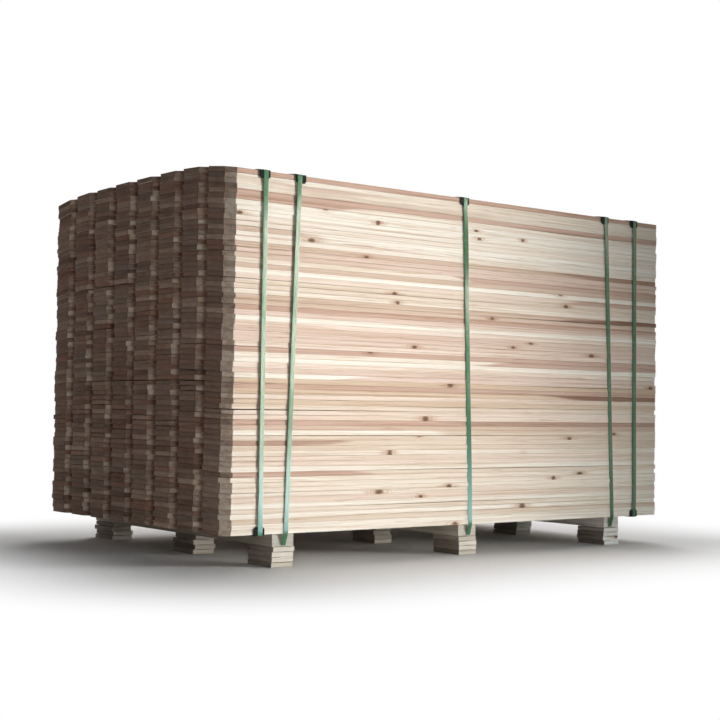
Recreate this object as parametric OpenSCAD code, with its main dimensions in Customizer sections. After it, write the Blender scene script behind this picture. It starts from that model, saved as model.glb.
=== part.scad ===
// Strapped stack of dog-eared fence boards on three block-footed bearers.
// Millimetres, +Z up. The origin is on the floor, under the middle of the stack.
// X runs along the boards, with the dog-eared ends at -X. The front face looks along -Y.

/* [Board] */
// Length of one board
board_length = 1829; // [1200:1:3000]
// Width of one board
board_width = 140; // [90:1:200]
// Thickness of one board
board_thickness = 15; // [12:0.5:25]
// Size of the clipped corners at the dog-eared end, along the board and across it
ear_size = 26; // [10:1:40]

/* [Stack] */
// Boards side by side
columns = 8; // [4:1:12]
// Courses of boards, one on the other
courses = 70; // [20:1:90]
// Gap between neighbouring columns
column_gap = 1; // [0.5:0.1:3]
// How far a board's ends may stand out of line, either way
end_stagger = 3; // [0:0.5:8]
// How far a course may stand out of line sideways, either way
side_stagger = 1; // [0:0.25:3]
// Rise of the top's loose middle over its front and back edges, which the straps pull down
crown = 27; // [0:1:60]

/* [Bearers] */
// Width of a bearer, along the boards
bearer_width = 76; // [60:1:120]
// Thickness of the batten that the bottom course lies on
batten_thickness = 38; // [20:1:50]
// How far the bearer's ends stand back from the front and back faces of the stack
bearer_recess = 10; // [4:1:40]
// Boards in each block under the batten
block_layers = 4; // [2:1:6]
// Length of a block, along the bearer
block_length = 125; // [80:1:160]
// Distance from the middle of the bearer to the middle of its middle block
middle_block_offset = -57; // [-80:1:80]
// How far a block's boards may stand out of line, either way
block_stagger = 4; // [0:0.5:6]
// Distance from the dog-eared end to the middle of the first bearer
first_bearer_inset = 212; // [160:1:350]
// Distance from the middle of the stack to the middle of the second bearer
second_bearer_offset = 16; // [-60:1:60]
// Distance from the square end to the middle of the third bearer
third_bearer_inset = 219; // [180:1:350]

/* [Straps] */
// Width of the strap
strap_width = 16; // [12:1:25]
// Thickness of the strap
strap_thickness = 0.9; // [0.5:0.1:1.5]
// Length of the welded lap, where the strap's two ends lie on each other
lap_length = 90; // [40:1:200]
// Depth of the groove under a batten that the strap lies in
groove_depth = 4; // [1.75:0.25:6]
// Room beside the strap in that groove, on each side
groove_clearance = 2; // [0.5:0.5:4]
// Distance from the first bearer out to the guards of the first strap
first_strap_gap = 33; // [8:1:50]
// Distance from the third bearer out to the guards of the last strap
last_strap_gap = 49; // [8:1:70]
// How far each strap's top stands along the boards from its foot
strap_leans = [1, 30, -40, -46, -8]; // [-60:1:60]
// How far the foot of each bearer's strap stands from the middle of the bearer
foot_offsets = [1, 5, -6]; // [-16:1:16]

/* [Corner guards] */
// Width of a corner guard, along the boards
guard_width = 36; // [30:1:60]
// Length of the guard's leg on an upright face of the stack
guard_drop = 26; // [15:1:50]
// Length of the guard's leg on the top or the underside of the stack
guard_reach = 32; // [15:1:60]
// Thickness of the guard
guard_thickness = 3; // [2:0.5:6]
// Radius that the strap turns round on the guard
guard_radius = 4; // [2:0.5:6]
// Size of the clipped corners at the ends of the guard's legs
guard_clip = 6; // [2:1:8]
// How far the guards of each strap stand along the boards from the strap's middle
guard_shifts = [-3, 5, -1, -4, -3]; // [-6:1:6]

/* [Hidden] */

// Names of the nodes
function odd_courses(column) = str("column_", column, "_odd_courses");
function even_courses(column) = str("column_", column, "_even_courses");
function batten_of(bearer) = str("bearer_", bearer, "_batten");
function odd_blocks(bearer) = str("bearer_", bearer, "_odd_blocks");
function even_blocks(bearer) = str("bearer_", bearer, "_even_blocks");
function strap_name(strap) = str("strap_", strap);
function guards_of(strap) = str("strap_", strap, "_guards");

// Heights of the stack at its edges, and the planes of its front and back faces
block_height = block_layers*board_thickness;
stack_bottom = block_height + batten_thickness;
stack_top = stack_bottom + courses*board_thickness;
stack_width = columns*board_width + (columns - 1)*column_gap;
face_y = stack_width/2 + side_stagger;
batten_y = stack_width/2 - bearer_recess;

// Crown of the top: columns meet at seams, counted from the front face
function rise(seam) = crown*(1 - pow(2*seam/columns - 1, 4));
function column_y(column) = -stack_width/2 + (column - 1)*(board_width + column_gap);
edge_slope = rise(1)/board_width;
edge_top = stack_top - edge_slope*side_stagger;

// Height of a course's underside: the courses of a column thicken towards the crown
function underside(course, column, y) =
    let (
        front = rise(column - 1),
        back = rise(column),
        here = front + (back - front)*(y - column_y(column))/board_width
    )
        stack_bottom + (course - 1)*(board_thickness + here/courses);

// Uneven laying: steps of a half from -1 to 1, the same on every build
function laying_steps(count, seed) = [for (draw = rands(0, 5, count, seed)) (floor(draw) - 2)/2];
side_steps = laying_steps(courses, 7);

// Bearers, counted from the dog-eared end
bearer_x = [
    -board_length/2 + first_bearer_inset,
    second_bearer_offset,
    board_length/2 - third_bearer_inset
];
block_y = [
    -batten_y + block_length/2,
    middle_block_offset,
    batten_y - block_length/2
];

// Straps, counted from the dog-eared end: the first and last go round the boards alone
end_strap_reach = bearer_width/2 + guard_width/2;
strap_foot_x = [
    bearer_x[0] - end_strap_reach - first_strap_gap,
    bearer_x[0] + foot_offsets[0],
    bearer_x[1] + foot_offsets[1],
    bearer_x[2] + foot_offsets[2],
    bearer_x[2] + end_strap_reach + last_strap_gap
];
function takes_bearer(strap) = strap > 1 && strap < 5;

// Faces of the guards that the straps lie on, and the roof of the batten's groove
guard_y = face_y + guard_thickness;
guard_top = edge_top + guard_thickness;
guard_bottom = stack_bottom - guard_thickness;
groove_roof = block_height + groove_depth;
strap_clearance = 0.3;
arc_steps = 4;
overshoot = 1;

// Outside of a guard's bend, as [y, z] points from the corner of the stack, below a top of some slope
function outer_bend(slope) =
    let (
        tilt = atan(slope),
        top_way = [sin(tilt), cos(tilt)],
        centre = (guard_thickness - guard_radius)*([1, 0] + top_way)/(1 + top_way[0])
    )
        [
            for (step = [0 : arc_steps])
                let (angle = (90 - tilt)*step/arc_steps)
                    centre + guard_radius*[cos(angle), sin(angle)]
        ];

// The free end of the guard's leg on the top: its inner and its outer edge
free_y = guard_thickness - guard_reach;
function inner_end(slope) = [free_y, -free_y*slope];
function outer_end(slope) = inner_end(slope) + [0, guard_thickness*norm([1, slope])];

// Inner outline of a strap across the boards, as [y, z] points, anticlockwise
function placed(points, corner, way) = [for (point = points) corner + way*point];
function mirrored(points) = [for (i = [len(points) - 1 : -1 : 0]) [-points[i][0], points[i][1]]];
function strap_height(seam) =
    max(stack_top + rise(seam) + strap_clearance, edge_top + outer_end(edge_slope)[1]);
back_top = placed(concat(outer_bend(edge_slope), [outer_end(edge_slope)]), [face_y, edge_top], 1);
front_bottom = placed(outer_bend(0), [-face_y, stack_bottom], -1);
top_run = concat(
    back_top,
    [for (seam = [columns - 1 : -1 : 1]) [column_y(seam + 1) - column_gap/2, strap_height(seam)]],
    mirrored(back_top)
);
boards_only_outline = concat(top_run, front_bottom, mirrored(front_bottom));
with_bearer_outline = concat(
    top_run,
    [
        [-guard_y, guard_top - guard_drop],
        [-face_y, stack_bottom],
        [-batten_y, groove_roof],
        [batten_y, groove_roof],
        [face_y, stack_bottom],
        [guard_y, guard_top - guard_drop]
    ]
);

// Outline moved outwards, with its corners kept sharp
function outward(from, to) = let (way = (to - from)/norm(to - from)) [way[1], -way[0]];
function grown(outline, by) = [
    for (i = [0 : len(outline) - 1])
        let (
            last = outline[(i + len(outline) - 1) % len(outline)],
            next = outline[(i + 1) % len(outline)],
            before = outward(last, outline[i]),
            after = outward(outline[i], next)
        )
            outline[i] + by*(before + after)/(1 + before*after)
];

// Outline across the boards, drawn out along them
module along_boards(outline, width) {
    rotate([90, 0, 90])
        linear_extrude(height = width, center = true)
            polygon(outline);
}

// The same, leaning along the boards from a foot to a top
module leaning(outline, width, foot, top) {
    count = len(outline);
    slope = (top[0] - foot[0])/(top[1] - foot[1]);
    points = [
        for (side = [-1, 1])
            for (point = outline)
                [foot[0] + slope*(point[1] - foot[1]) + side*width/2, point[0], point[1]]
    ];
    near_end = [[for (i = [0 : count - 1]) i]];
    far_end = [[for (i = [0 : count - 1]) 2*count - 1 - i]];
    sides = [
        for (i = [0 : count - 1])
            let (next = (i + 1) % count)
                [next, i, i + count, next + count]
    ];
    polyhedron(points, concat(near_end, far_end, sides));
}

// Flat view of a board with its corners clipped at one end, let out past its other edges
module dog_eared() {
    clip = ear_size + overshoot;
    polygon([
        [-overshoot, clip],
        [clip, -overshoot],
        [board_length + overshoot, -overshoot],
        [board_length + overshoot, board_width + overshoot],
        [clip, board_width + overshoot],
        [-overshoot, board_width - clip]
    ]);
}

// Board of a column, with the middle of its length and its front edge at a place
module board(column, course, x, y) {
    back = y + board_width;
    intersection() {
        translate([x, 0, 0])
            along_boards([
                [y, underside(course, column, y)],
                [back, underside(course, column, back)],
                [back, underside(course + 1, column, back)],
                [y, underside(course + 1, column, y)]
            ], board_length);
        translate([x - board_length/2, y, 0])
            linear_extrude(height = 2*stack_top)
                dog_eared();
    }
}

// Every second board of a column, from a first course on
module column_boards(column, first_course) {
    end_steps = laying_steps(courses, 100 + column);
    color("burlywood")
        for (course = [first_course : 2 : courses])
            board(
                column,
                course,
                end_stagger*end_steps[course - 1],
                column_y(column) + side_stagger*side_steps[course - 1]
            );
}

module batten(bearer) {
    groove_width = strap_width + 2*groove_clearance;
    color("wheat")
        difference() {
            translate([bearer_x[bearer - 1] - bearer_width/2, -batten_y, block_height])
                cube([bearer_width, 2*batten_y, batten_thickness]);
            translate([
                strap_foot_x[bearer] - groove_width/2,
                -batten_y - overshoot,
                block_height - overshoot
            ])
                cube([groove_width, 2*(batten_y + overshoot), groove_depth + overshoot]);
        }
}

// Every second board of a bearer's three blocks, from a first layer on
module blocks(bearer, first_layer) {
    color("wheat")
        for (block = [0 : len(block_y) - 1])
            let (steps = laying_steps(block_layers, 10*bearer + block))
                for (layer = [first_layer : 2 : block_layers])
                    translate([
                        bearer_x[bearer - 1] + block_stagger*steps[layer - 1] - bearer_width/2,
                        block_y[block] - block_length/2,
                        (layer - 1)*board_thickness
                    ])
                        cube([bearer_width, block_length, board_thickness]);
}

// Closed band with its ends lapped and welded on top of the stack
module strap(number) {
    inner = takes_bearer(number) ? with_bearer_outline : boards_only_outline;
    foot = [strap_foot_x[number - 1], takes_bearer(number) ? groove_roof : guard_bottom];
    top = [foot[0] + strap_leans[number - 1], guard_top];
    ridge = strap_height(floor(columns/2));
    lap_bottom = ridge + strap_thickness/2;
    lap_top = ridge + 2*strap_thickness;
    lap = [
        [-lap_length/2, lap_bottom],
        [lap_length/2, lap_bottom],
        [lap_length/2, lap_top],
        [-lap_length/2, lap_top]
    ];
    color("seagreen") {
        difference() {
            leaning(grown(inner, strap_thickness), strap_width, foot, top);
            leaning(inner, strap_width + 2*overshoot, foot, top);
        }
        leaning(lap, strap_width, foot, top);
    }
}

// Angle for the back edge of the top, from the corner of the stack, below a top of some slope
module guard(slope) {
    profile = concat(
        [[0, 0], [0, guard_thickness - guard_drop], [guard_thickness, guard_thickness - guard_drop]],
        outer_bend(slope),
        [outer_end(slope), inner_end(slope)]
    );
    intersection() {
        along_boards(profile, guard_width);
        rotate([90, 0, 0])
            linear_extrude(height = 2*guard_reach, center = true)
                clipped_leg(guard_thickness - guard_drop, guard_reach);
        linear_extrude(height = 2*(guard_drop + guard_reach), center = true)
            clipped_leg(free_y, guard_thickness);
    }
}

// Flat view of one leg, with its two free corners clipped, as far as a limit
module clipped_leg(free_end, limit) {
    half = guard_width/2;
    polygon([
        [-half, free_end + guard_clip],
        [-half + guard_clip, free_end],
        [half - guard_clip, free_end],
        [half, free_end + guard_clip],
        [half, limit],
        [-half, limit]
    ]);
}

// Guards under one strap: at the top edges, and at the bottom edges where it has no bearer
module guards(number) {
    foot_x = strap_foot_x[number - 1] + guard_shifts[number - 1];
    top_x = foot_x + strap_leans[number - 1];
    color("darkslategray")
        for (turn = [0, 180])
            rotate([0, 0, turn]) {
                translate([turn == 0 ? top_x : -top_x, face_y, edge_top])
                    guard(edge_slope);
                if (!takes_bearer(number))
                    translate([turn == 0 ? foot_x : -foot_x, face_y, stack_bottom])
                        rotate([0, 180, 0])
                            guard(0);
            }
}

for (column = [1 : columns]) {
    column_boards(column, 1);
    column_boards(column, 2);
}
for (bearer = [1 : 3]) {
    batten(bearer);
    blocks(bearer, 1);
    blocks(bearer, 2);
}
for (number = [1 : 5]) {
    strap(number);
    guards(number);
}
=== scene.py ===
"""Looks of a strapped stack of dog-eared fence boards: grained boards, bearers, straps and corner guards."""
import math

import bpy
import numpy as np
from mathutils import Matrix, Vector
from mathutils.geometry import convex_hull_2d


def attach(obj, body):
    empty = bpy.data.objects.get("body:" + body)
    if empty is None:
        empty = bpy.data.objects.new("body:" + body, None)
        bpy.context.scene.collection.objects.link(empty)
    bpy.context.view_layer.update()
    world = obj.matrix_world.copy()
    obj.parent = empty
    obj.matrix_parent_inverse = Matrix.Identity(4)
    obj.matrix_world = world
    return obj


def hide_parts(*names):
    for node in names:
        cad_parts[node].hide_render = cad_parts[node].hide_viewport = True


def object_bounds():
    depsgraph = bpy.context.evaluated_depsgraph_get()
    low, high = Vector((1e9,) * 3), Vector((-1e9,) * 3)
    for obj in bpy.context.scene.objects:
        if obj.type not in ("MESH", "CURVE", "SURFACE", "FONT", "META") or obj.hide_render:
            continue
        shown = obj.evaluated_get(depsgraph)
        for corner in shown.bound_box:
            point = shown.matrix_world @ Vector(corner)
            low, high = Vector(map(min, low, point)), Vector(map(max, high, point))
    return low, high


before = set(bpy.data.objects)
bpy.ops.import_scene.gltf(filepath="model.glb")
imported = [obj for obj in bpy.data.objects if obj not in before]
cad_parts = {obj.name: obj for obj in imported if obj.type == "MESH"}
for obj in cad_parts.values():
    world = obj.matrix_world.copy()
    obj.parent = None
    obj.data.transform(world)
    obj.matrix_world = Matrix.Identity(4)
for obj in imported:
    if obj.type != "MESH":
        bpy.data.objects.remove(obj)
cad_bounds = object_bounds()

MM = 0.001
SEED = 41
ROW_SEED = 500
BEARER_SEED = 90
STRAP_SEED = 700

# Camera: worked out from the photograph, in metres and degrees, in the frame of the CAD
CAMERA_PLACE = (-3.025, -3.930, 0.459)
CAMERA_YAW = 37.56
CAMERA_PITCH = 2.06
CAMERA_ROLL = 0.815
CAMERA_LENS = 70.0
CAMERA_SENSOR = 36.0

# Stage, in metres
FLOOR_RADIUS = 14.0
FLOOR_SIDES = 96
FLOOR_FADE = 0.9
SKY_LIGHT = 0.06
WHITE = (1, 1, 1)
COOL = (0.70, 0.90, 1)
WIDE = 180
# Lamps: place, what it points at, width and height, power in watts, spread in degrees, and tint
LAMPS = {
    "key": ((2.60, -3.10, 1.0), (-0.85, -0.56, 0.62), (0.6, 2.2), 17, 37, WHITE),
    "ear_fill": ((-2.50, -2.95, 1.0), (-0.9, -0.2, 0.6), (1.2, 1.6), 11, WIDE, WHITE),
    "front_fill": ((0.95, -3.40, 0.5), (0.90, -0.56, 0.28), (1.2, 1.2), 1.1, 40, COOL),
    "back_fill": ((2.6, 2.8, 2.2), (0.3, 0, 0.5), (2.5, 2.5), 110, WIDE, WHITE),
    "overhead": ((0.9, 0.2, 3.4), (0.3, 0.1, 1.1), (2.0, 2.0), 45, WIDE, WHITE),
}

# Shape of a plank: its outline has a few points at each corner, given by side, level and first angle
EASE = 0.8 * MM
END_EASE = 0.8 * EASE
CORNERS = ((-1, -1, 180), (1, -1, 270), (1, 1, 0), (-1, 1, 90))
CORNER_POINTS = 3
CORNER_TURN = 45
OUTLINE = len(CORNERS) * CORNER_POINTS
# Strips of the outline that a clipped corner cuts: both sides, and the halves of their corners next to them
EAR_STRIPS = (0, 4, 5, 6, 10, 11)
INNER_STATIONS = 12
SMOOTH_ANGLE = 35
EDGE_WANDER = 0.5 * MM
WAVE_HEIGHT = (0.3, 1)
WAVE_PACE = (2, 4)
WAVE_START = (0, 6.3)

# Seams between planks: reaches, middles and widths are shares
SEAM_DEPTH = 0.25 * MM
OPEN_SEAM_SHARE = 0.10
OPEN_SEAM_DEPTH = 1.8 * MM
OPEN_SEAM_WIDTH = (0.3, 0.8)
OPEN_SEAM_MIDDLE = (0.1, 0.9)
OPEN_SEAM_REACH = (0.25, 0.6)
SEAM_CLOSING = 0.2
BLOCK_SEAM_MIDDLE = (0.2, 0.6)
END_SEAM_SHARE = 0.30
END_SEAM_DEPTH = 2.2 * MM
END_SEAM_WIDTH = (0.4, 1.0)
END_SEAM_REACH = 0.2
END_GAP_VARIES = (0.7, 1.1)
FRONT_GAP = 0.6
# Courses with a dark gap on top at the dog-eared end: the columns that it runs through, and how wide it is
END_GAPS = {
    62: (7, 7, 1.0),
    49: (2, 7, 1.8),
    29: (2, 6, 1.4),
    24: (1, 1, 1.1),
    20: (3, 3, 1.0),
    8: (3, 3, 1.0),
}

# Growth of the wood: plain depths, edges, leans and radii are in millimetres
RING_PITCH = (2.4 * MM, 4.6 * MM)
PITH_ASIDE = 0.22
PITH_DEPTH = (25, 110)
DRIFT = 40
HEART_EDGE = (-12, 16)
HEART_LEAN = (0, 9)
HEART_MARGIN = 26 * MM
HEART_TAPER = 60 * MM
KNOTS = 2
KNOT_PLACE = (0.04, 0.96)
KNOT_RADIUS = (3.5, 7)

# How the wood's noises are stretched: along, across and through a plank
WANDER_SCALE = (1.4, 9.0, 9.0)
PATCH_SCALE = (1.7, 14.0, 14.0)
FIBRE_SCALE = (5.0, 420.0, 420.0)
STAIN_SCALE = (2.6, 30.0, 60.0)
STREAK_SCALE = (1.1, 170.0, 170.0)
DASH_SCALE = (8.0, 240.0, 240.0)
RAGGED_SCALE = (160.0, 260.0, 260.0)
MOTTLE_SCALE = (40.0, 26.0, 60.0)
SAW_SCALE = (2.0, 4.0, 260.0)
WANDER_REACH = 30 * MM
PATCH_REACH = 50 * MM
HEART_SOFTNESS = 4 * MM
YEARS_SCALE = 130.0
CHATTER_SCALE = 2100.0
# Width over length of a knot's core and of its smear
KNOT_STRETCHES = (0.42, 0.13)

# Straps: each has a bow, and a turn and a waver in degrees that die out at its foot and head
STRAP_BOWS = (-1.0 * MM, 0.8 * MM, -0.3 * MM, -1.1 * MM, -1.1 * MM)
STRAP_TURNS = (-8, -8, 9, 10, 10)
STRAP_WAVERS = (4, 5, 9, 2, 2)
STRAP_THICKNESS = 0.9 * MM
STRAP_ARCH = 0.15 * MM
STRAP_SHARES = np.array([-1, -0.6, 0, 0.6, 1])
STRAP_STEP = 30 * MM
STRAP_HELD = 30 * MM
TWIST_ENDS = (0.05, 0.12)
STRAP_WAVE_PACE = (5, 8)
STRAP_WAVE_PACES = (1, 2.3)
FACES_OUT = 0.9
STRAP_TOP = 20 * MM
LAP_RISE = 0.5 * MM
LAP_STATIONS = 7
# Painted pale reflection low on the straps, painted shade on those at the right: heights, and places along
# the stack, in metres
REFLECTION_HEIGHT = (0.46, 0.13)
REFLECTION_FOOT = (0.094, 0.112)
REFLECTION_ALONG = (0.4, 0.1)
STRAP_SHADE_ALONG = (0.4, 0.7)

# Guards
GUARD_WELD = 0.01 * MM
GUARD_EASE = 0.5 * MM
GUARD_EDGE = 30


def linear(red, green, blue):
    """A colour given as 0 to 255 sRGB, as linear values."""
    def one(value):
        value /= 255
        return value / 12.92 if value <= 0.04045 else ((value + 0.055) / 1.055) ** 2.4
    return np.array([one(red), one(green), one(blue)])


# Tones of sapwood and heartwood, with how often each is found
CREAM = linear(245, 239, 228)
PALE = linear(238, 228, 214)
BLUSH = linear(233, 217, 203)
SAND = linear(227, 212, 195)
PINK = linear(224, 203, 189)
TAN = linear(213, 191, 173)
OCHRE = linear(217, 196, 174)
SALMON = linear(204, 175, 159)
BROWN = linear(184, 155, 138)
UMBER = linear(152, 120, 103)
SAPWOODS = ((CREAM, 0.26), (PALE, 0.38), (BLUSH, 0.26), (SAND, 0.10))
HEARTWOODS = ((BLUSH, 0.20), (PINK, 0.36), (TAN, 0.28), (SALMON, 0.12), (BROWN, 0.04))
KNOT_DARK = linear(52, 35, 26)
KNOT_LIGHT = linear(134, 98, 76)
BRIGHTEST = 0.93

# Cut ends that have gone grey-brown: a board's end is partly its own and partly like those stacked near it
END_GREY = linear(154, 127, 112)
END_RED = linear(152, 114, 96)
END_DARK = linear(127, 103, 90)
END_LIGHT = linear(194, 168, 150)
# Pale tone that clipped corners are painted towards: painted light where they face the lamps
FACET_LIGHT_TONE = linear(246, 229, 210)
ENDS = ((END_GREY, 0.34), (END_RED, 0.28), (END_DARK, 0.22), (END_LIGHT, 0.16))
ENDS_IN_A_ROW = 6
OWN_END = 0.68
ROW_END = 0.32
OWN_END_SPREAD = 0.38
ROW_END_SPREAD = 0.3
# How much painted light clipped corners get: a random share raised to a power, and at most this on the front
# column
FACET_LIGHT_POWER = 2.2
FACET_LIGHT_MOST = 1.4
FAINT_RIM = (0.05, 0.3)
DARK_RIM = (0.6, 1.0)
FAINT_RIM_SHARE = 0.6

# Tones of the bearers, of which the last is paler, and of the cut ends of their blocks
BEARER_GREY = linear(218, 214, 204)
BEARER_DUN = linear(198, 193, 180)
BEARER_PALE = linear(244, 242, 237)
BEARER_WOODS = ((BEARER_GREY, 0.6), (BEARER_DUN, 0.4))
LAST_BEARER_WOODS = ((BEARER_PALE, 0.7), (BEARER_GREY, 0.3))
BLOCK_GREY = linear(168, 156, 147)
BLOCK_DARK = linear(148, 137, 128)
BLOCK_ENDS = ((BLOCK_GREY, 0.5), (BLOCK_DARK, 0.5))

# Tones of straps and guards
STRAP_DEEP = linear(48, 100, 66)
STRAP_LIGHT = linear(68, 122, 86)
STRAP_SCUFF = linear(196, 214, 190)
# Pale bluish tone painted low on the left straps as a reflection of the sky
STRAP_PAINTED_REFLECTION = linear(146, 188, 186)
STRAP_GLEAM = (1.0, 0.92, 0.78)
GUARD_DARK = linear(10, 17, 14)
GUARD_DUST = linear(28, 39, 34)

# Courses of the front column whose edge is all of one tone, counted from the bottom
FRONT_TONES = (
    (CREAM, (69, 64, 63, 62, 51, 42, 34, 13, 6, 4, 2, 1)),
    (PALE, (61, 60, 57, 16, 11, 10, 9, 8)),
    (BLUSH, (41, 37, 33, 27, 24, 15, 14, 7)),
    (SAND, (49, 48, 25, 19, 17, 3)),
    (PINK, (55, 54, 43, 40, 39, 38, 32)),
    (TAN, (52, 45, 21)),
    (OCHRE, (30, 26)),
    (SALMON, (70, 66, 44, 36, 29)),
)
# Courses whose edge changes tone along the board: tone, what it runs out into, its side, and where it ends
FRONT_RUNS = {
    65: (SALMON, PALE, -1, 0.25),
    59: (TAN, CREAM, -1, 0.12),
    56: (BROWN, TAN, 1, 0.72),
    53: (SALMON, PALE, 1, 0.50),
    50: (SALMON, BLUSH, 1, 0.75),
    46: (UMBER, TAN, 1, 0.80),
    35: (SALMON, PALE, 1, 0.62),
    31: (PINK, CREAM, 1, 0.30),
    28: (UMBER, OCHRE, 1, 0.72),
    22: (BROWN, SALMON, 1, 0.50),
    20: (SAND, CREAM, 1, 0.50),
    18: (BROWN, SAND, -1, 0.15),
    12: (SALMON, SAND, -1, 0.28),
}
# Courses of the front column with an open seam on top, and where along the board
FRONT_SEAMS = {65: 0.9, 45: 0.95, 30: 0.9, 24: 0.02, 19: 0.4, 12: 0.65, 5: 0.45}
# Knots in the front edges: course, place from the dog-eared end in mm, height in the course, radius in mm
FRONT_KNOTS = (
    (62, 35, 0.4, 5.5),
    (63, 540, 0.6, 4.5),
    (58, 290, 0.5, 6.5),
    (64, 950, 0.3, 4.5),
    (62, 960, 0.6, 4.5),
    (63, 1155, 0.4, 3.5),
    (56, 500, 0.2, 4.5),
    (49, 610, 0.3, 5.0),
    (47, 625, 0.4, 4.0),
    (49, 1365, 0.4, 5.5),
    (45, 1025, 0.5, 4.5),
    (40, 1200, 0.5, 4.0),
    (39, 1120, 0.4, 4.5),
    (38, 695, 0.4, 5.0),
    (38, 1495, 0.4, 6.5),
    (31, 1800, 0.4, 5.0),
    (23, 740, 0.4, 6.0),
    (19, 1385, 0.3, 5.0),
    (16, 600, 0.3, 4.5),
    (11, 1445, 0.3, 7.0),
    (10, 1310, 0.5, 4.5),
    (9, 840, 0.3, 5.5),
    (8, 560, 0.5, 7.5),
    (7, 725, 0.3, 4.0),
    (4, 1170, 0.4, 6.5),
    (1, 870, 0.3, 5.5),
)


def pick(rng, choices, spread=0.05):
    """One of several weighted tones, a little lighter or darker."""
    weights = np.array([weight for _, weight in choices])
    tone = choices[rng.choice(len(choices), p=weights / weights.sum())][0]
    return np.clip(tone * rng.uniform(1 - spread, 1 + spread), 0, BRIGHTEST)


def between(pair, share):
    """Part of the way from the first of two values to the second."""
    return pair[0] + (pair[1] - pair[0]) * share


class Solid:
    """One solid of a CAD node: its box, its clipped end's width, and its underside and top at both edges."""

    def __init__(self, places):
        self.low = places.min(0)
        self.high = places.max(0)
        clipped = places[places[:, 0] < self.low[0] + EASE]
        self.end_width = np.ptp(clipped[:, 1])
        front = places[places[:, 1] < self.low[1] + EASE][:, 2]
        back = places[places[:, 1] > self.high[1] - EASE][:, 2]
        self.undersides = (front.min(), back.min())
        self.tops = (front.max(), back.max())


def welded(node):
    """The points of a CAD node with doubles joined, and its edges."""
    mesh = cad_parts[node].data
    places = np.empty(len(mesh.vertices) * 3)
    mesh.vertices.foreach_get("co", places)
    places, weld = np.unique(places.reshape(-1, 3).round(5), axis=0, return_inverse=True)
    edges = np.empty(len(mesh.edges) * 2, int)
    mesh.edges.foreach_get("vertices", edges)
    return places, weld.reshape(-1)[edges].reshape(-1, 2)


def solids_of(node):
    """The separate solids of a CAD node, from the bottom up."""
    places, edges = welded(node)
    labels = np.arange(len(places))
    while True:
        lowest = labels.copy()
        np.minimum.at(lowest, edges[:, 0], labels[edges[:, 1]])
        np.minimum.at(lowest, edges[:, 1], labels[edges[:, 0]])
        if np.array_equal(lowest, labels):
            break
        labels = lowest
    solids = [Solid(places[labels == label]) for label in np.unique(labels)]
    return sorted(solids, key=lambda solid: (solid.low[2], solid.low[1]))


def new_piece(name, mesh, material, node):
    """A piece that stands for a CAD node."""
    mesh.polygons.foreach_set("use_smooth", np.ones(len(mesh.polygons), bool))
    mesh.set_sharp_from_angle(angle=math.radians(SMOOTH_ANGLE))
    mesh.materials.append(material)
    piece = bpy.data.objects.new(name, mesh)
    bpy.context.scene.collection.objects.link(piece)
    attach(piece, "root")
    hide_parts(node)


def store(mesh, name, kind, domain, field, values):
    """Values kept on a mesh for its material to read."""
    attribute = mesh.attributes.new(name, kind, domain)
    attribute.data.foreach_set(field, np.asarray(values, np.float32).ravel())


class Heap:
    """Many planks in one mesh, with the facts of each plank and the marks on its faces as attributes."""

    VECTORS = ("spot", "pith", "drift", "knot_a", "knot_b")
    COLOURS = ("sapwood", "heartwood", "end_tone")
    FLOATS = ("heart_edge", "heart_taper", "notch_shading", "facet_light")
    MARKS = ("cut", "rim", "ear")

    def __init__(self, name):
        self.name = name
        self.places = []
        self.faces = []
        self.count = 0
        self.marks = {key: [] for key in self.MARKS}
        self.facts = {key: [] for key in self.VECTORS + self.COLOURS + self.FLOATS}

    def add(self, places, faces, marks, facts):
        self.places.append(places)
        self.faces += [[corner + self.count for corner in face] for face in faces]
        self.count += len(places)
        for key, values in marks.items():
            self.marks[key] += values
        for key, value in facts.items():
            value = np.asarray(value, float)
            if value.ndim < 2:
                value = np.repeat(value.reshape(1, -1), len(places), axis=0)
            self.facts[key].append(value)

    def build(self, material, node):
        mesh = bpy.data.meshes.new(self.name)
        mesh.from_pydata(np.concatenate(self.places).tolist(), [], self.faces)
        facts = {key: np.concatenate(values) for key, values in self.facts.items()}
        for key in self.VECTORS:
            store(mesh, key, "FLOAT_VECTOR", "POINT", "vector", facts[key])
        for key in self.COLOURS:
            tones = np.hstack([facts[key], np.ones((len(facts[key]), 1))])
            store(mesh, key, "FLOAT_COLOR", "POINT", "color", tones)
        for key in self.FLOATS:
            store(mesh, key, "FLOAT", "POINT", "value", facts[key])
        for key in self.MARKS:
            store(mesh, key, "FLOAT", "FACE", "value", self.marks[key])
        new_piece(self.name, mesh, material, node)


def slow_wave(rng, stations, count=3):
    """A gentle wave from 0 to 1 along a plank."""
    wave = np.zeros(len(stations))
    for turn in range(1, count + 1):
        height = rng.uniform(*WAVE_HEIGHT) / turn
        wave += height * np.sin(stations * turn * rng.uniform(*WAVE_PACE) + rng.uniform(*WAVE_START))
    return (wave - wave.min()) / max(np.ptp(wave), 1e-6)


def open_seam(rng, stations, middle):
    """A lens-shaped gap over part of a plank's length, from 0 to 1."""
    length = stations[-1]
    reach = rng.uniform(*OPEN_SEAM_REACH) * length
    closed_end = np.clip((length - stations) / (SEAM_CLOSING * length), 0, 1)
    return np.clip(1 - ((stations - middle * length) / reach) ** 2, 0, 1) * closed_end


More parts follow.
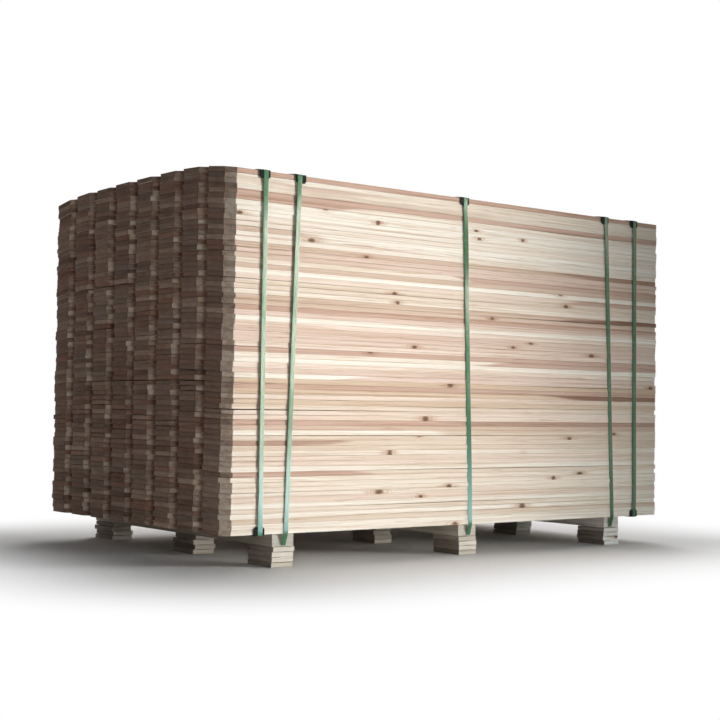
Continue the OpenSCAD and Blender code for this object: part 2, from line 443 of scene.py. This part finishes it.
def seams(rng, stations, seam, end_gap):
    """How far a plank's underside and its top stand back along it."""
    lower = SEAM_DEPTH * slow_wave(rng, stations)
    upper = SEAM_DEPTH * slow_wave(rng, stations)
    if seam is not None:
        upper += OPEN_SEAM_DEPTH * open_seam(rng, stations, seam)
    elif rng.random() < OPEN_SEAM_SHARE:
        depth = OPEN_SEAM_DEPTH * rng.uniform(*OPEN_SEAM_WIDTH)
        middle = rng.uniform(*OPEN_SEAM_MIDDLE)
        upper += depth * open_seam(rng, stations, middle)
    upper += END_SEAM_DEPTH * end_gap * np.exp(-stations / (END_SEAM_REACH * stations[-1]))
    return lower, upper


def plank_stations(length, ear):
    """Where along a plank its outlines stand, from its left end."""
    stations = [0, EASE]
    if ear > 0:
        stations.append(ear)
    inner = np.linspace(stations[-1], length - EASE, INNER_STATIONS + 2)[1:]
    return np.array([*stations, *inner, length])


def plank_points(rng, stations, width, wood, ear):
    """The eased outlines of a plank, one after another, centred across."""
    half_width = width / 2 - np.clip(ear - stations, 0, None)
    half_thickness = np.full(len(stations), wood.thickness / 2)
    for end in (0, -1):
        half_width[end] -= END_EASE
        half_thickness[end] -= END_EASE
    lower, upper = seams(rng, stations, wood.seam, wood.end_gap)
    near = EDGE_WANDER * slow_wave(rng, stations)
    far = EDGE_WANDER * slow_wave(rng, stations)
    ring = []
    for side, level, turn in CORNERS:
        for step in range(CORNER_POINTS):
            angle = math.radians(turn + CORNER_TURN * step)
            across = side * (half_width - EASE) + EASE * math.cos(angle)
            up = level * (half_thickness - EASE) + EASE * math.sin(angle)
            across = across + (near if side < 0 else -far)
            up = up + (lower if level < 0 else -upper)
            ring.append(np.stack([stations, across, up], axis=1))
    return np.stack(ring, axis=1).reshape(-1, 3)


def plank_faces(rng, count, clipped):
    """A plank's faces, and marks on those that are cut, rims or ears."""
    rim_shade = rng.uniform(*FAINT_RIM) if rng.random() < FAINT_RIM_SHARE else rng.uniform(*DARK_RIM)
    faces = []
    marks = {key: [] for key in Heap.MARKS}
    for station in range(count - 1):
        rim = station in (0, count - 2)
        for step in range(OUTLINE):
            a = station * OUTLINE + step
            b = station * OUTLINE + (step + 1) % OUTLINE
            faces.append([a, b, b + OUTLINE, a + OUTLINE])
            eared = clipped and station == 1 and step in EAR_STRIPS
            marks["cut"].append(1.0 if rim or eared else 0.0)
            marks["rim"].append(rim_shade if rim else 0.0)
            marks["ear"].append(1.0 if eared else 0.0)
    faces.append(list(range(OUTLINE))[::-1])
    faces.append([(count - 1) * OUTLINE + step for step in range(OUTLINE)])
    marks["cut"] += [1.0, 1.0]
    marks["rim"] += [0.0, 0.0]
    marks["ear"] += [0.0, 0.0]
    return faces, marks


class Wood:
    """The wood of one plank: pith, rings, tones and knots."""

    def __init__(self, rng, length, width, thickness, ends):
        self.length = length
        self.front = -width / 2
        self.thickness = thickness
        self.pith = [rng.normal(0, PITH_ASIDE) * width, rng.choice([-1, 1]) * rng.uniform(*PITH_DEPTH) * MM]
        self.pitch = rng.uniform(*RING_PITCH)
        self.drift = rng.uniform(-DRIFT, DRIFT, 3)
        self.sap = pick(rng, SAPWOODS)
        self.heart = pick(rng, HEARTWOODS)
        self.end = pick(rng, ends, OWN_END_SPREAD)
        # Painted shade deep in the notch beside the clipped corners, and how much painted light those
        # corners get
        self.notch_shading = 1.0
        self.facet_light = rng.uniform(0, 1) ** FACET_LIGHT_POWER
        self.seam = None
        self.end_gap = rng.uniform(*END_SEAM_WIDTH) if rng.random() < END_SEAM_SHARE else 0.0
        self.edge_radius = math.hypot(self.front - self.pith[0], self.pith[1])
        self.heart_edge = self.edge_radius + rng.normal(*HEART_EDGE) * MM
        self.taper = rng.normal(*HEART_LEAN) * MM
        self.knots = []
        for _ in range(KNOTS):
            way = rng.uniform(0, 2 * math.pi)
            self.knots.append([rng.uniform(*KNOT_PLACE) * length, way, rng.uniform(*KNOT_RADIUS) * MM])

    def all_one(self, tone):
        """One tone over the whole front edge."""
        self.heart = tone
        self.heart_edge = self.edge_radius + HEART_MARGIN
        self.taper = 0

    def heart_runs_out(self, tone, sap, side, share):
        """Heartwood to one side of a place along the front edge, 1 for right and -1 for left."""
        self.heart = tone
        self.sap = sap
        self.taper = side * HEART_TAPER
        self.heart_edge = self.edge_radius + self.taper * (0.5 - share) * self.length

    def front_knots(self, found):
        """Knots in the front edge: branches that grew out from the pith towards it."""
        for slot, (place, height, radius) in enumerate(found[:KNOTS]):
            level = (height - 0.5) * self.thickness
            way = math.atan2(level - self.pith[1], self.front - self.pith[0])
            self.knots[slot] = [place * MM, way, radius * MM]

    def facts(self, spot):
        return {
            "spot": spot,
            "pith": [*self.pith, self.pitch],
            "drift": self.drift,
            "sapwood": self.sap,
            "heartwood": self.heart,
            "end_tone": self.end,
            "heart_edge": [self.heart_edge - self.taper * self.length / 2],
            "heart_taper": [self.taper],
            "notch_shading": [self.notch_shading],
            "facet_light": [self.facet_light],
            "knot_a": self.knots[0],
            "knot_b": self.knots[1],
        }


def add_plank(heap, solid, wood, rng, ear=0, along_y=False):
    """One plank in the space that its CAD solid holds."""
    size = solid.high - solid.low
    middle = (solid.low + solid.high) / 2
    length, width = (size[1], size[0]) if along_y else (size[0], size[1])
    stations = plank_stations(length, ear)
    spot = plank_points(rng, stations, width, wood, ear)
    faces, marks = plank_faces(rng, len(stations), ear > 0)
    places = spot - np.array([length / 2, 0, 0])
    if along_y:
        places = places[:, [1, 0, 2]] * np.array([-1, 1, 1])
    places[:, :2] += middle[:2]
    across = (places[:, 1] - solid.low[1]) / size[1]
    bottom = between(solid.undersides, across)
    top = between(solid.tops, across)
    places[:, 2] = between((bottom, top), spot[:, 2] / wood.thickness + 0.5)
    heap.add(places, faces, marks, wood.facts(spot))


def colour(tone):
    """A tone as a colour socket takes it."""
    return (*[float(part) for part in tone], 1.0)


class Graph:
    """Short ways to add nodes to a material."""

    def __init__(self, name):
        self.material = bpy.data.materials.new(name)
        self.material.use_nodes = True
        self.nodes = self.material.node_tree.nodes
        self.links = self.material.node_tree.links
        self.shader = self.nodes["Principled BSDF"]

    def put(self, socket, value):
        if isinstance(value, bpy.types.NodeSocket):
            self.links.new(value, socket)
        elif value is not None:
            socket.default_value = value

    def finish(self, **values):
        """The shader's own sockets, named as on the shader with an underscore for a space."""
        for key, value in values.items():
            self.put(self.shader.inputs[key.replace("_", " ")], value)
        return self.material

    def node(self, kind, inputs=(), **settings):
        made = self.nodes.new(kind)
        for key, value in settings.items():
            setattr(made, key, value)
        for key, value in dict(inputs).items():
            self.put(made.inputs[key], value)
        return made

    def attribute(self, name, output):
        return self.node("ShaderNodeAttribute", attribute_name=name).outputs[output]

    def object_place(self):
        return self.node("ShaderNodeTexCoord").outputs["Object"]

    def math(self, operation, a, b=None, c=None):
        made = self.node("ShaderNodeMath", operation=operation)
        for socket, value in zip(made.inputs, (a, b, c)):
            self.put(socket, value)
        return made.outputs[0]

    def plus(self, a, b):
        return self.math("ADD", a, b)

    def minus(self, a, b):
        return self.math("SUBTRACT", a, b)

    def times(self, a, b):
        return self.math("MULTIPLY", a, b)

    def span(self, a, b):
        """The long side over two square sides."""
        return self.math("SQRT", self.math("MULTIPLY_ADD", a, a, self.times(b, b)))

    def vector(self, operation, a, b=None):
        made = self.node("ShaderNodeVectorMath", operation=operation)
        for socket, value in zip(made.inputs, (a, b)):
            self.put(socket, value)
        return made.outputs["Value" if operation == "LENGTH" else "Vector"]

    def split(self, vector):
        return self.node("ShaderNodeSeparateXYZ", {"Vector": vector}).outputs

    def noise(self, vector, scale=1.0, detail=2.0, roughness=0.5, output=0):
        inputs = {"Vector": vector, "Scale": scale, "Detail": detail, "Roughness": roughness}
        return self.node("ShaderNodeTexNoise", inputs).outputs[output]

    def stretched(self, place, scale, detail=2.0, roughness=0.5, output=0):
        """Noise with a scale of its own along each axis."""
        return self.noise(self.vector("MULTIPLY", place, scale), 1.0, detail, roughness, output)

    def smooth(self, value, low, high, to_low=0.0, to_high=1.0):
        inputs = {"Value": value, "From Min": low, "From Max": high, "To Min": to_low, "To Max": to_high}
        return self.node("ShaderNodeMapRange", inputs, interpolation_type="SMOOTHSTEP").outputs[0]

    def mix(self, factor, a, b, blend="MIX"):
        made = self.node("ShaderNodeMix", data_type="RGBA", blend_type=blend)
        self.put(made.inputs["Factor"], factor)
        self.put(made.inputs["A"], a)
        self.put(made.inputs["B"], b)
        return made.outputs["Result"]

    def shade(self, tone, factor, by):
        """A tone darkened, by as much as a factor says."""
        return self.mix(factor, tone, colour(by), "MULTIPLY")

    def bump(self, height, strength, distance, normal=None):
        inputs = {"Height": height, "Strength": strength, "Distance": distance, "Normal": normal}
        return self.node("ShaderNodeBump", inputs).outputs[0]


class WoodGraph(Graph):
    """The nodes of sawn softwood, with what its parts share: places in a plank, fibres, knots and rings."""

    def __init__(self, name):
        super().__init__(name)
        spot = self.attribute("spot", "Vector")
        self.place = self.vector("ADD", spot, self.attribute("drift", "Vector"))
        self.x, self.y, self.z = self.split(spot)
        self.pith_y, self.pith_z, self.pitch = self.split(self.attribute("pith", "Vector"))
        self.fibre = self.stretched(self.place, FIBRE_SCALE, 3.0, 0.6)
        self.ragged = self.stretched(self.place, RAGGED_SCALE, 3.0)
        self.add_knots()
        self.add_rings()

    def from_branch(self, key):
        """How far a branch's own line is, in branch radii, for a knot's core and for its smear."""
        along, angle, thickness = self.split(self.attribute(key, "Vector"))
        u = self.minus(self.y, self.pith_y)
        v = self.minus(self.z, self.pith_z)
        sine = self.math("SINE", angle)
        cosine = self.math("COSINE", angle)
        aside = self.minus(self.times(v, cosine), self.times(u, sine))
        outward = self.plus(self.times(u, cosine), self.times(v, sine))
        behind = self.smooth(outward, 0.0, -4 * MM, 0.0, 50.0)
        ahead = self.minus(self.x, along)
        distances = []
        for stretch in KNOT_STRETCHES:
            distance = self.span(aside, self.times(ahead, stretch))
            distances.append(self.plus(self.math("DIVIDE", distance, thickness), behind))
        return distances

    def add_knots(self):
        """Knots where a plank cuts its two branches: cores, halos of bent grain, and smears."""
        pairs = zip(self.from_branch("knot_a"), self.from_branch("knot_b"))
        near, smear = [self.math("MINIMUM", a, b) for a, b in pairs]
        near = self.plus(near, self.times(self.minus(self.ragged, 0.4), 1.1))
        self.knot_core = self.smooth(near, 1.25, 0.55)
        self.knot_halo = self.smooth(near, 3.0, 0.9)
        self.knot_smear = self.times(self.smooth(smear, 1.6, 0.3), self.smooth(self.ragged, 0.35, 0.6))

    def add_rings(self):
        """Growth rings round a pith that wanders slowly along the plank, with a narrow dark late band."""
        wander = self.stretched(self.place, WANDER_SCALE, output="Color")
        wander = self.vector("SUBTRACT", wander, (0.5, 0.5, 0.5))
        _, wander_y, wander_z = self.split(self.vector("MULTIPLY", wander, (0, WANDER_REACH, WANDER_REACH)))
        u = self.minus(self.plus(self.y, wander_y), self.pith_y)
        v = self.minus(self.plus(self.z, wander_z), self.pith_z)
        self.radius = self.plus(self.span(u, v), self.times(self.knot_halo, 6 * MM))
        ring = self.math("FRACT", self.math("DIVIDE", self.radius, self.pitch))
        self.late = self.times(self.smooth(ring, 0.35, 0.9), self.smooth(ring, 1.0, 0.93))

    def heart_and_sap(self):
        """Heartwood inside and sapwood outside, with a soft uneven edge."""
        patches = self.stretched(self.place, PATCH_SCALE, 3.0)
        taper = self.attribute("heart_taper", "Fac")
        edge = self.math("MULTIPLY_ADD", self.x, taper, self.attribute("heart_edge", "Fac"))
        edge = self.plus(edge, self.times(self.minus(patches, 0.5), PATCH_REACH))
        heart = self.smooth(self.minus(self.radius, edge), HEART_SOFTNESS, -HEART_SOFTNESS)
        return self.mix(heart, self.attribute("sapwood", "Color"), self.attribute("heartwood", "Color"))

    def years(self):
        """Broad bands of better and worse years."""
        sockets = {"X": self.times(self.radius, YEARS_SCALE), "Y": self.split(self.place)[1]}
        return self.noise(self.node("ShaderNodeCombineXYZ", sockets).outputs[0], detail=1.0)

    def side_tone(self):
        """The tone along a plank: late bands, years, fibres, stains, streaks, dashes and knots."""
        stain = self.stretched(self.place, STAIN_SCALE, 3.0)
        streak = self.stretched(self.place, STREAK_SCALE, 2.0, 0.6)
        dashes = self.stretched(self.place, DASH_SCALE, 2.0, 0.6)
        tone = self.shade(self.heart_and_sap(), self.times(self.late, 0.45), (0.84, 0.76, 0.67))
        for grain, low, high, most, by in (
            (self.years(), 0.45, 0.75, 1.0, (0.90, 0.86, 0.81)),
            (self.fibre, 0.42, 0.72, 0.5, (0.88, 0.83, 0.77)),
            (stain, 0.50, 0.78, 0.6, (0.86, 0.81, 0.75)),
            (streak, 0.48, 0.70, 0.8, (0.81, 0.73, 0.66)),
            (dashes, 0.58, 0.74, 0.7, (0.74, 0.63, 0.54)),
        ):
            tone = self.shade(tone, self.smooth(grain, low, high, 0.0, most), by)
        tone = self.shade(tone, self.times(self.knot_halo, 0.35), (0.78, 0.63, 0.50))
        tone = self.shade(tone, self.times(self.knot_smear, 0.8), (0.66, 0.50, 0.40))
        knot_tone = self.mix(self.ragged, colour(KNOT_DARK), colour(KNOT_LIGHT))
        return self.mix(self.times(self.knot_core, 0.92), tone, knot_tone)

    def end_tone(self, side_tone):
        """Cut ends: mottled, with faint rings and dark rims; painted light on clipped corners, painted shade
        in the notches.
        """
        mottle = self.stretched(self.place, MOTTLE_SCALE, 4.0, 0.65)
        saw = self.stretched(self.place, SAW_SCALE)
        tone = self.mix(0.12, self.attribute("end_tone", "Color"), side_tone)
        tone = self.shade(tone, self.smooth(mottle, 0.35, 0.7, 0.0, 0.6), (0.70, 0.67, 0.65))
        tone = self.shade(tone, self.times(self.late, 0.5), (0.76, 0.70, 0.66))
        tone = self.shade(tone, self.times(self.knot_core, 0.7), (0.5, 0.4, 0.36))
        tone = self.shade(tone, self.smooth(saw, 0.40, 0.65, 0.0, 0.7), (0.78, 0.75, 0.73))
        # Painted light on clipped corners: lifted towards a pale tone by a share set per plank
        lighter = self.shade(tone, 1.0, (1.2, 1.2, 1.2))
        ear = self.mix(self.attribute("facet_light", "Fac"), lighter, colour(FACET_LIGHT_TONE))
        ear = self.shade(ear, self.smooth(mottle, 0.42, 0.62, 0.0, 0.8), (0.68, 0.56, 0.50))
        # Painted shade deep in each notch between two columns, where the next column's corner keeps the
        # light off
        notch_shade = self.times(self.attribute("notch_shading", "Fac"), self.smooth(self.x, 8 * MM, 18 * MM))
        ear = self.shade(ear, notch_shade, (0.42, 0.35, 0.31))
        tone = self.mix(self.attribute("ear", "Fac"), tone, ear)
        return self.shade(tone, self.attribute("rim", "Fac"), (0.30, 0.27, 0.25))

    def relief(self):
        """Rough sawn: fibres, ring ridges and the saw's fine chatter across the plank."""
        chatter = self.plus(self.x, self.times(self.fibre, 2 * MM))
        chatter = self.math("SINE", self.times(chatter, CHATTER_SCALE))
        height = self.plus(self.times(self.fibre, 0.7), self.times(self.late, 0.3))
        height = self.plus(height, self.times(chatter, 0.08))
        return self.bump(height, 0.35, 0.6 * MM)


def wood_material(name):
    """Sawn softwood: rings round a pith, sapwood and heartwood, branches, darker cut ends."""
    g = WoodGraph(name)
    side_tone = g.side_tone()
    return g.finish(
        Base_Color=g.mix(g.attribute("cut", "Fac"), side_tone, g.end_tone(side_tone)),
        Normal=g.relief(),
        Roughness=g.smooth(g.fibre, 0.3, 0.8, 0.74, 0.92),
        Specular_IOR_Level=0.2,
    )


def strap_material():
    """Glossy green polyester, finely embossed, slightly rippled; painted reflection low on the left, painted
    shade at the right.
    """
    g = Graph("strap_green")
    run = g.attribute("run", "Vector")
    place = g.object_place()
    x, _, z = g.split(place)
    tint = g.stretched(place, (40.0, 6.0, 6.0))
    scuff = g.stretched(run, (60.0, 700.0, 1.0), 3.0)
    tone = g.mix(tint, colour(STRAP_DEEP), colour(STRAP_LIGHT))
    tone = g.mix(g.smooth(scuff, 0.55, 0.75, 0.0, 0.35), tone, colour(STRAP_SCUFF))
    # Painted shade on the straps towards the right end, where less light falls
    tone = g.shade(tone, g.smooth(x, *STRAP_SHADE_ALONG), (0.66, 0.68, 0.68))
    # Painted reflection: pale bluish low on the straps at the left, stopping at the boards' bottom
    painted_reflection = g.times(g.smooth(z, *REFLECTION_HEIGHT, 0.0, 0.75), g.smooth(x, *REFLECTION_ALONG))
    painted_reflection = g.times(painted_reflection, g.smooth(z, *REFLECTION_FOOT))
    along, across, _ = g.split(g.vector("MULTIPLY", run, (1800.0, 1800.0, 1.0)))
    emboss = g.times(g.math("SINE", g.plus(along, across)), g.math("SINE", g.minus(along, across)))
    ripple = g.bump(g.stretched(run, (14.0, 30.0, 1.0), 1.0), 0.5, 3 * MM)
    return g.finish(
        Base_Color=g.mix(painted_reflection, tone, colour(STRAP_PAINTED_REFLECTION)),
        Normal=g.bump(emboss, 0.2, 0.2 * MM, ripple),
        Roughness=g.smooth(scuff, 0.35, 0.75, 0.24, 0.42),
        Specular_IOR_Level=0.24,
        Specular_Tint=colour(STRAP_GLEAM),
    )


def guard_material():
    """Dark moulded plastic, dull from dust."""
    g = Graph("guard_dark")
    place = g.object_place()
    dust = g.noise(place, scale=90.0, detail=4.0)
    return g.finish(
        Base_Color=g.mix(dust, colour(GUARD_DARK), colour(GUARD_DUST)),
        Normal=g.bump(g.noise(place, scale=900.0), 0.15, 0.3 * MM),
        Roughness=g.smooth(dust, 0.3, 0.7, 0.5, 0.75),
        Specular_IOR_Level=0.08,
    )


def front_wood(wood, course):
    """What the photographed edges of the front column call for."""
    for tone, courses in FRONT_TONES:
        if course in courses:
            wood.all_one(tone)
    if course in FRONT_RUNS:
        wood.heart_runs_out(*FRONT_RUNS[course])
    wood.front_knots([knot[1:] for knot in FRONT_KNOTS if knot[0] == course])
    wood.seam = FRONT_SEAMS.get(course)
    # No painted notch shade on the front column, whose clipped corners stand in the open
    wood.notch_shading = 0.0
    wood.end_gap *= FRONT_GAP
    # Painted light on the front column's clipped corners, stronger where the wood there is pale
    sap_at_ear = course in FRONT_RUNS and FRONT_RUNS[course][2] > 0
    ear_tone = wood.sap if sap_at_ear else wood.heart
    wood.facet_light = FACET_LIGHT_MOST * (ear_tone.mean() / CREAM.mean()) ** 2


def board_wood(rng, solid, column, course, columns):
    """The wood of one board, from its place in the stack."""
    length, width, _ = solid.high - solid.low
    wood = Wood(rng, length, width, solid.tops[0] - solid.undersides[0], ENDS)
    row = np.random.default_rng([SEED, column, ROW_SEED + course // ENDS_IN_A_ROW])
    wood.end = OWN_END * wood.end + ROW_END * pick(row, ENDS, ROW_END_SPREAD)
    first, last, gap = END_GAPS.get(course, (0, 0, 0))
    if first <= column <= last:
        wood.end_gap = gap * rng.uniform(*END_GAP_VARIES)
    elif column == columns[-1]:
        wood.end_gap = 0.0
    if column == columns[0]:
        front_wood(wood, course)
    return wood


def boards(material):
    """Every column's boards, in two pieces a column as in the CAD."""
    columns = sorted({int(name.split("_")[1]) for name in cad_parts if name.startswith("column_")})
    for column in columns:
        for parity, first in (("odd", 1), ("even", 2)):
            node = f"column_{column}_{parity}_courses"
            heap = Heap(f"boards_{column}_{parity}")
            for order, solid in enumerate(solids_of(node)):
                course = first + 2 * order
                rng = np.random.default_rng([SEED, column, course])
                wood = board_wood(rng, solid, column, course, columns)
                ear = (solid.high[1] - solid.low[1] - solid.end_width) / 2
                add_plank(heap, solid, wood, rng, ear=ear)
            heap.build(material, node)


def bearers(material):
    """Battens along Y, and blocks of short boards whose grain runs along X."""
    for number, woods in ((1, BEARER_WOODS), (2, BEARER_WOODS), (3, LAST_BEARER_WOODS)):
        for part in ("batten", "odd_blocks", "even_blocks"):
            node = f"bearer_{number}_{part}"
            heap = Heap(f"bearer_{number}_{part}_wood")
            along_y = part == "batten"
            for order, solid in enumerate(solids_of(node)):
                rng = np.random.default_rng([SEED, BEARER_SEED + number, len(part), order])
                length, width, thickness = (solid.high - solid.low)[[1, 0, 2] if along_y else [0, 1, 2]]
                wood = Wood(rng, length, width, thickness, woods if along_y else BLOCK_ENDS)
                wood.all_one(pick(rng, woods))
                if not along_y:
                    wood.seam = rng.uniform(*BLOCK_SEAM_MIDDLE)
                add_plank(heap, solid, wood, rng, along_y=along_y)
            heap.build(material, node)


class Strap:
    """The outside of a strap, read from its CAD node: a closed path across the boards, and how it leans."""

    def __init__(self, node):
        places, _ = welded(node)
        x, y, z = places.T
        lap = z > z.max() - LAP_RISE
        foot = z < z.min() + LAP_RISE
        middles = [(x[part].min() + x[part].max()) / 2 for part in (foot, lap)]
        self.lean = (middles[1] - middles[0]) / (z[lap].mean() - z[foot].mean())
        self.base = middles[0] - self.lean * z[foot].mean()
        self.width = np.ptp(x[lap])
        self.lap_length = np.ptp(y[lap])
        band = np.unique(places[~lap][:, 1:], axis=0)
        hull = band[convex_hull_2d([tuple(point) for point in band])]
        path = []
        for start, end in zip(hull, np.roll(hull, -1, axis=0)):
            steps = max(1, math.ceil(np.linalg.norm(end - start) / STRAP_STEP))
            path += [start + (end - start) * step / steps for step in range(steps)]
        self.path = np.array(path)

    def lap(self):
        """The line of the lap along the top of the path."""
        height = self.path[:, 1]
        top = self.path[height > height.max() - STRAP_TOP]
        along = np.linspace(self.lap_length / 2, -self.lap_length / 2, LAP_STATIONS)
        return np.column_stack([along, np.interp(along, *top[np.argsort(top[:, 0])].T)])

    def band(self, path, ways, bow, twist, closed):
        """A thin arched band along a path: points, faces, and places along, across and through the band."""
        across = STRAP_SHARES * self.width / 2
        arch = STRAP_ARCH * (1 - STRAP_SHARES ** 2)
        middle = self.base + self.lean * path[:, 1]
        along = np.concatenate([[0], np.cumsum(np.linalg.norm(np.diff(path, axis=0), axis=1))])
        rows = []
        runs = []
        for sign, depth in ((1, 0), (-1, STRAP_THICKNESS)):
            for share in list(range(len(across)))[::sign]:
                lift = bow + arch[share] - depth + across[share] * np.sin(twist)
                point = path + ways * lift[:, None]
                rows.append(np.column_stack([middle + across[share] * np.cos(twist), point]))
                sides = np.tile([across[share], depth], (len(along), 1))
                runs.append(np.column_stack([along, sides]))
        places = np.stack(rows, axis=1).reshape(-1, 3)
        faces = band_faces(len(path), len(rows), closed)
        return places, faces, np.stack(runs, axis=1).reshape(-1, 3)


def band_faces(count, size, closed):
    """Faces between the outlines of a band, with its ends shut where it isn't closed on itself."""
    faces = []
    for station in range(count if closed else count - 1):
        here = station * size
        there = (station + 1) % count * size
        for step in range(size):
            after = (step + 1) % size
            faces.append([here + step, there + step, there + after, here + after])
    if not closed:
        faces.append(list(range(size)))
        faces.append([(count - 1) * size + step for step in range(size)][::-1])
    return faces


def outward_ways(path):
    """Which way is out along a closed anticlockwise path, long enough to keep a band's thickness."""
    before = path - np.roll(path, 1, axis=0)
    before = np.column_stack([before[:, 1], -before[:, 0]]) / np.linalg.norm(before, axis=1)[:, None]
    after = np.roll(before, -1, axis=0)
    return (before + after) / (1 + (before * after).sum(1))[:, None]


def bow_and_twist(number, path, ways):
    """How far a strap stands off and turns at each point, where it runs free at the front and back."""
    rng = np.random.default_rng([SEED, STRAP_SEED + number])
    y, z = path.T
    free = np.abs(ways[:, 0]) > FACES_OUT
    low = z[free].min() + STRAP_HELD
    high = z[free].max() - STRAP_HELD
    rise = np.clip((z - low) / (high - low), 0, 1)
    loose = np.where(free, np.sin(math.pi * rise) ** 0.7, 0)
    foot, head = TWIST_ENDS
    turned = np.where(free, np.clip(np.minimum(rise / foot, (1 - rise) / head), 0, 1), 0)
    waves = []
    for pace in STRAP_WAVE_PACES:
        waves.append(np.sin(rise * rng.uniform(*STRAP_WAVE_PACE) * pace + rng.uniform(*WAVE_START) + y))
    turn = math.radians(STRAP_TURNS[number - 1])
    waver = math.radians(STRAP_WAVERS[number - 1])
    twist = turned * (turn + waver * (0.65 * waves[0] + 0.35 * waves[1]))
    bow = STRAP_BOWS[number - 1] * loose * (0.8 + 0.2 * waves[1])
    return bow, twist


def straps(material):
    """Each strap as a band that bows and twists a little where it runs free, with its lap on top."""
    for number in range(1, len(STRAP_BOWS) + 1):
        node = f"strap_{number}"
        strap = Strap(node)
        ways = outward_ways(strap.path)
        bow, twist = bow_and_twist(number, strap.path, ways)
        places, faces, runs = strap.band(strap.path, ways, bow, twist, closed=True)
        lap = strap.lap()
        flat = np.zeros(len(lap))
        up = np.tile([0.0, 1.0], (len(lap), 1))
        lap_places, lap_faces, lap_runs = strap.band(lap, up, flat + STRAP_THICKNESS, flat, closed=False)
        faces += [[corner + len(places) for corner in face] for face in lap_faces]
        mesh = bpy.data.meshes.new(f"strap_{number}_band")
        mesh.from_pydata(np.concatenate([places, lap_places]).tolist(), [], faces)
        store(mesh, "run", "FLOAT_VECTOR", "POINT", "vector", np.concatenate([runs, lap_runs]))
        new_piece(f"strap_{number}_band", mesh, material, node)


def guards(material):
    """The CAD guards, with eased edges."""
    for number in range(1, len(STRAP_BOWS) + 1):
        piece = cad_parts[f"strap_{number}_guards"]
        piece.data.materials.clear()
        piece.data.materials.append(material)
        weld = piece.modifiers.new("weld", "WELD")
        weld.merge_threshold = GUARD_WELD
        bevel = piece.modifiers.new("ease", "BEVEL")
        bevel.width = GUARD_EASE
        bevel.segments = 2
        bevel.limit_method = "ANGLE"
        bevel.angle_limit = math.radians(GUARD_EDGE)


def camera():
    """The photograph's viewpoint."""
    yaw = math.radians(CAMERA_YAW)
    pitch = math.radians(CAMERA_PITCH)
    ahead = Vector((math.sin(yaw) * math.cos(pitch), math.cos(yaw) * math.cos(pitch), math.sin(pitch)))
    data = bpy.data.cameras.new("camera")
    data.lens = CAMERA_LENS
    data.sensor_width = CAMERA_SENSOR
    eye = bpy.data.objects.new("camera", data)
    turn = ahead.to_track_quat("-Z", "Y").to_matrix().to_4x4()
    roll = Matrix.Rotation(math.radians(CAMERA_ROLL), 4, "Z")
    eye.matrix_world = Matrix.Translation(CAMERA_PLACE) @ turn @ roll
    bpy.context.scene.collection.objects.link(eye)
    bpy.context.scene.camera = eye


def area_light(name, place, target, size, power, spread, tint):
    """A soft rectangular lamp, out of the camera's sight."""
    data = bpy.data.lights.new(name, "AREA")
    data.shape = "RECTANGLE"
    data.size, data.size_y = size
    data.energy = power
    data.spread = math.radians(spread)
    data.color = tint
    lamp = bpy.data.objects.new(name, data)
    way = Vector(target) - Vector(place)
    lamp.matrix_world = Matrix.Translation(place) @ way.to_track_quat("-Z", "Y").to_matrix().to_4x4()
    lamp.visible_camera = False
    bpy.context.scene.collection.objects.link(lamp)


def lamps():
    """A key from the right along the front, fills for the ears and the right, and light for back and top."""
    for name, settings in LAMPS.items():
        area_light(name, *settings)


def sky():
    """White behind the object, weak as a light."""
    world = bpy.data.worlds.new("sky")
    world.use_nodes = True
    bpy.context.scene.world = world
    nodes = world.node_tree.nodes
    links = world.node_tree.links
    path = nodes.new("ShaderNodeLightPath")
    seen = path.outputs["Is Camera Ray"]
    for ray in ("Is Glossy Ray", "Is Transmission Ray"):
        either = nodes.new("ShaderNodeMath")
        either.operation = "MAXIMUM"
        links.new(seen, either.inputs[0])
        links.new(path.outputs[ray], either.inputs[1])
        seen = either.outputs[0]
    strength = nodes.new("ShaderNodeMapRange")
    strength.inputs["To Min"].default_value = SKY_LIGHT
    strength.inputs["To Max"].default_value = 1.0
    links.new(seen, strength.inputs["Value"])
    background = nodes["Background"]
    background.inputs["Color"].default_value = (1, 1, 1, 1)
    links.new(strength.outputs[0], background.inputs["Strength"])


def floor_material():
    """Pale near the stack, fading into white further off."""
    g = Graph("floor_pale")
    outside = g.vector("SUBTRACT", g.vector("ABSOLUTE", g.object_place()), (*cad_bounds[1][:2], 0))
    reach = g.vector("LENGTH", g.vector("MAXIMUM", outside, (0, 0, 0)))
    path = g.node("ShaderNodeLightPath").outputs
    seen = g.math("MAXIMUM", path["Is Camera Ray"], path["Is Glossy Ray"])
    fade = g.times(g.smooth(reach, 0.0, FLOOR_FADE), seen)
    white = g.node("ShaderNodeEmission", {"Strength": 1.0})
    blend = g.node("ShaderNodeMixShader", {0: fade, 1: g.shader.outputs[0], 2: white.outputs[0]})
    g.links.new(blend.outputs[0], g.nodes["Material Output"].inputs["Surface"])
    return g.finish(Base_Color=(0.8, 0.8, 0.8, 1), Roughness=0.9, Specular_IOR_Level=0.1)


def floor():
    """A round floor that keeps the shadow close to the stack."""
    angles = [2 * math.pi * step / FLOOR_SIDES for step in range(FLOOR_SIDES)]
    rim = [(FLOOR_RADIUS * math.cos(angle), FLOOR_RADIUS * math.sin(angle), 0) for angle in angles]
    mesh = bpy.data.meshes.new("floor")
    mesh.from_pydata(rim, [], [list(range(FLOOR_SIDES))])
    mesh.materials.append(floor_material())
    piece = bpy.data.objects.new("floor", mesh)
    bpy.context.scene.collection.objects.link(piece)


bpy.context.scene.view_settings.view_transform = "Standard"
camera()
lamps()
sky()
floor()
boards(wood_material("fence_board_wood"))
bearers(wood_material("bearer_wood"))
straps(strap_material())
guards(guard_material())
